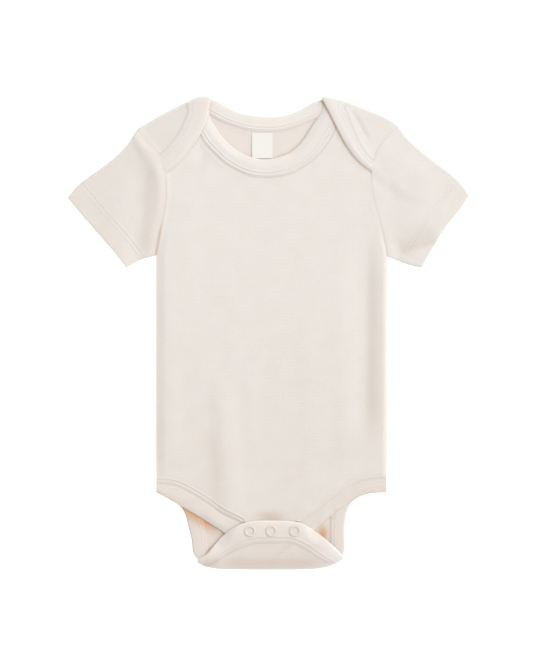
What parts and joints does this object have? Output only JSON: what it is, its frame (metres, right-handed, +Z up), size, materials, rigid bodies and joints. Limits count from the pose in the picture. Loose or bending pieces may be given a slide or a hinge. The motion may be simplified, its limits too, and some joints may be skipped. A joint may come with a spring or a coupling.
{
  "type": "baby onesie",
  "caption": "Short-sleeved baby bodysuit with envelope shoulders and a snap crotch, laid flat on its back, bound at the neck and legs",
  "frame": {"origin": "middle of the garment's outline, on the surface that it lies on", "axes": "+X across the chest, +Y from the crotch to the neck, +Z up from the surface"},
  "size_m": [0.3702, 0.4366, 0.0079],
  "materials": {
    "interlock": "cream cotton interlock knit, soft and matt",
    "rib_binding": "cream cotton rib binding, folded and twin-stitched",
    "label_tape": "grey-white woven tape",
    "snap_enamel": "cream enamelled metal, semi-gloss"
  },
  "bodies": {
    "root": {"back": "interlock", "front": "interlock", "sleeve_left": "interlock", "sleeve_right": "interlock", "neck_band_back": "rib_binding", "neck_band_front": "rib_binding", "leg_band_back": "rib_binding", "leg_band_front": "rib_binding", "label": "label_tape", "snap_ring_1": "snap_enamel", "snap_ring_2": "snap_enamel", "snap_ring_3": "snap_enamel", "snap_stud_1": "snap_enamel", "snap_stud_2": "snap_enamel", "snap_stud_3": "snap_enamel"}
  },
  "joints": []
}
